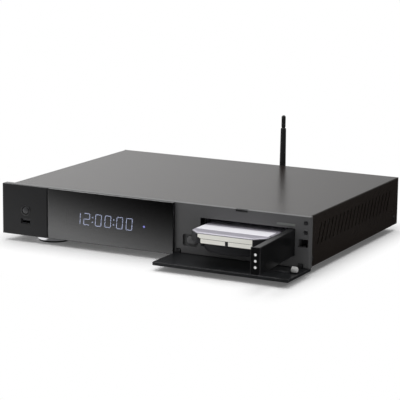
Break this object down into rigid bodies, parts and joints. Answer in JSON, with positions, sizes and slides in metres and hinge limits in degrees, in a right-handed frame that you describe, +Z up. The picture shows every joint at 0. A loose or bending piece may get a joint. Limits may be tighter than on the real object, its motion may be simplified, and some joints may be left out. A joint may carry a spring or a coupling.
{
  "type": "media player with hard drive bay",
  "caption": "Low wide media player on round feet, with a display window, a fold-down front flap, a hinged bay door and a removable hard drive.",
  "frame": {"origin": "middle of the whole box's footprint, on the floor under the feet", "axes": "+X to the player's right as seen from the front, +Y to the rear, +Z up"},
  "size_m": [0.43, 0.4381, 0.14],
  "materials": {
    "bare_steel": "satin",
    "black_metal": "satin",
    "black_plastic": "satin",
    "board_green": "satin",
    "brass_plated": "polished",
    "brown_board": "satin",
    "chrome_ring": "polished",
    "dark_steel": "satin",
    "drive_bright": "brushed",
    "drive_dark": "satin",
    "finned": "satin",
    "label": "matte",
    "lit_blue": "matte",
    "plate_black": "matte",
    "recess_grey": "satin",
    "rubber": "matte",
    "white_plastic": "satin",
    "window": "gloss"
  },
  "bodies": {
    "chassis": {"base_pan": "black_metal", "top_cover": "black_metal", "rear_panel": "black_metal", "socket_plate": "bare_steel", "front_frame": "recess_grey", "left_plate": "plate_black", "display_window": "window", "display_module": "black_plastic", "display_figures": "lit_blue", "indicator_light": "lit_blue", "front_board": "board_green", "front_usb_socket": "bare_steel", "button_ring": "black_plastic", "button_switch": "black_plastic", "flap_pins": "bare_steel", "flap_catch": "black_plastic", "bay_bezel": "black_plastic", "bay_cage": "bare_steel", "bay_backplane": "board_green", "hinge_bracket": "bare_steel", "door_catch": "black_plastic", "door_pins": "bare_steel", "latch_guide": "black_plastic", "main_board": "board_green", "heat_sink": "finned", "supply_board": "brown_board", "supply_parts": "black_plastic", "board_posts": "bare_steel", "mains_inlet": "black_plastic", "network_socket": "bare_steel", "video_socket": "bare_steel", "rear_usb_sockets": "bare_steel", "optical_socket": "black_plastic", "sound_picture_jacks": "brass_plated", "antenna_socket": "brass_plated", "foot_rings": "chrome_ring", "foot_pads": "rubber", "cover_screws": "dark_steel", "frame_screws": "dark_steel", "foot_screws": "bare_steel"},
    "flap": {"flap_plate": "plate_black", "flap_lugs": "black_plastic", "flap_striker": "bare_steel", "buffer_bracket": "dark_steel", "flap_buffer": "white_plastic"},
    "button": {"power_button": "plate_black"},
    "bay_door": {"door_shell": "black_plastic", "door_end_plate": "black_plastic", "door_rivets": "white_plastic"},
    "latch": {"latch_slider": "black_plastic"},
    "drive": {"drive_casting": "drive_dark", "drive_cover": "drive_bright", "drive_board": "board_green", "drive_labels": "label", "drive_screws": "bare_steel"},
    "antenna_base": {"antenna_elbow": "black_plastic", "antenna_pin": "bare_steel"},
    "antenna": {"antenna_whip": "black_plastic", "antenna_cap": "black_plastic"}
  },
  "joints": [
    {"name": "flap_hinge", "type": "hinge", "parent": "chassis", "child": "flap", "pos_m": [0.12475, -0.10635, 0.0134], "axis": [-1, 0, 0], "range_deg": [0, 12]},
    {"name": "button_press", "type": "slide", "parent": "chassis", "child": "button", "axis": [0, 1, 0], "range_m": [0, 0.0015], "stiffness_N_per_m": 900, "springref_m": -0.0004},
    {"name": "drive_slide", "type": "slide", "parent": "chassis", "child": "drive", "axis": [0, 1, 0], "range_m": [0, 0.06]},
    {"name": "bay_door_hinge", "type": "hinge", "parent": "chassis", "child": "bay_door", "pos_m": [0.188, -0.10095, 0.0415], "axis": [0, 0, -1], "range_deg": [0, 93.3]},
    {"name": "latch_slide", "type": "slide", "parent": "chassis", "child": "latch", "axis": [-1, 0, 0], "range_m": [0, 0.004], "stiffness_N_per_m": 300, "springref_m": -0.001},
    {"name": "antenna_swivel", "type": "hinge", "parent": "chassis", "child": "antenna_base", "pos_m": [0.033, 0.20705, 0.039], "axis": [0, 1, 0], "range_deg": [-90, 90]},
    {"name": "antenna_tilt", "type": "hinge", "parent": "antenna_base", "child": "antenna", "pos_m": [0.033, 0.21405, 0.039], "axis": [-1, 0, 0], "range_deg": [0, 90]}
  ],
  "couplings": [
    {"joint": "bay_door_hinge", "follows": "drive_slide", "rad_per_m": 27.14}
  ]
}
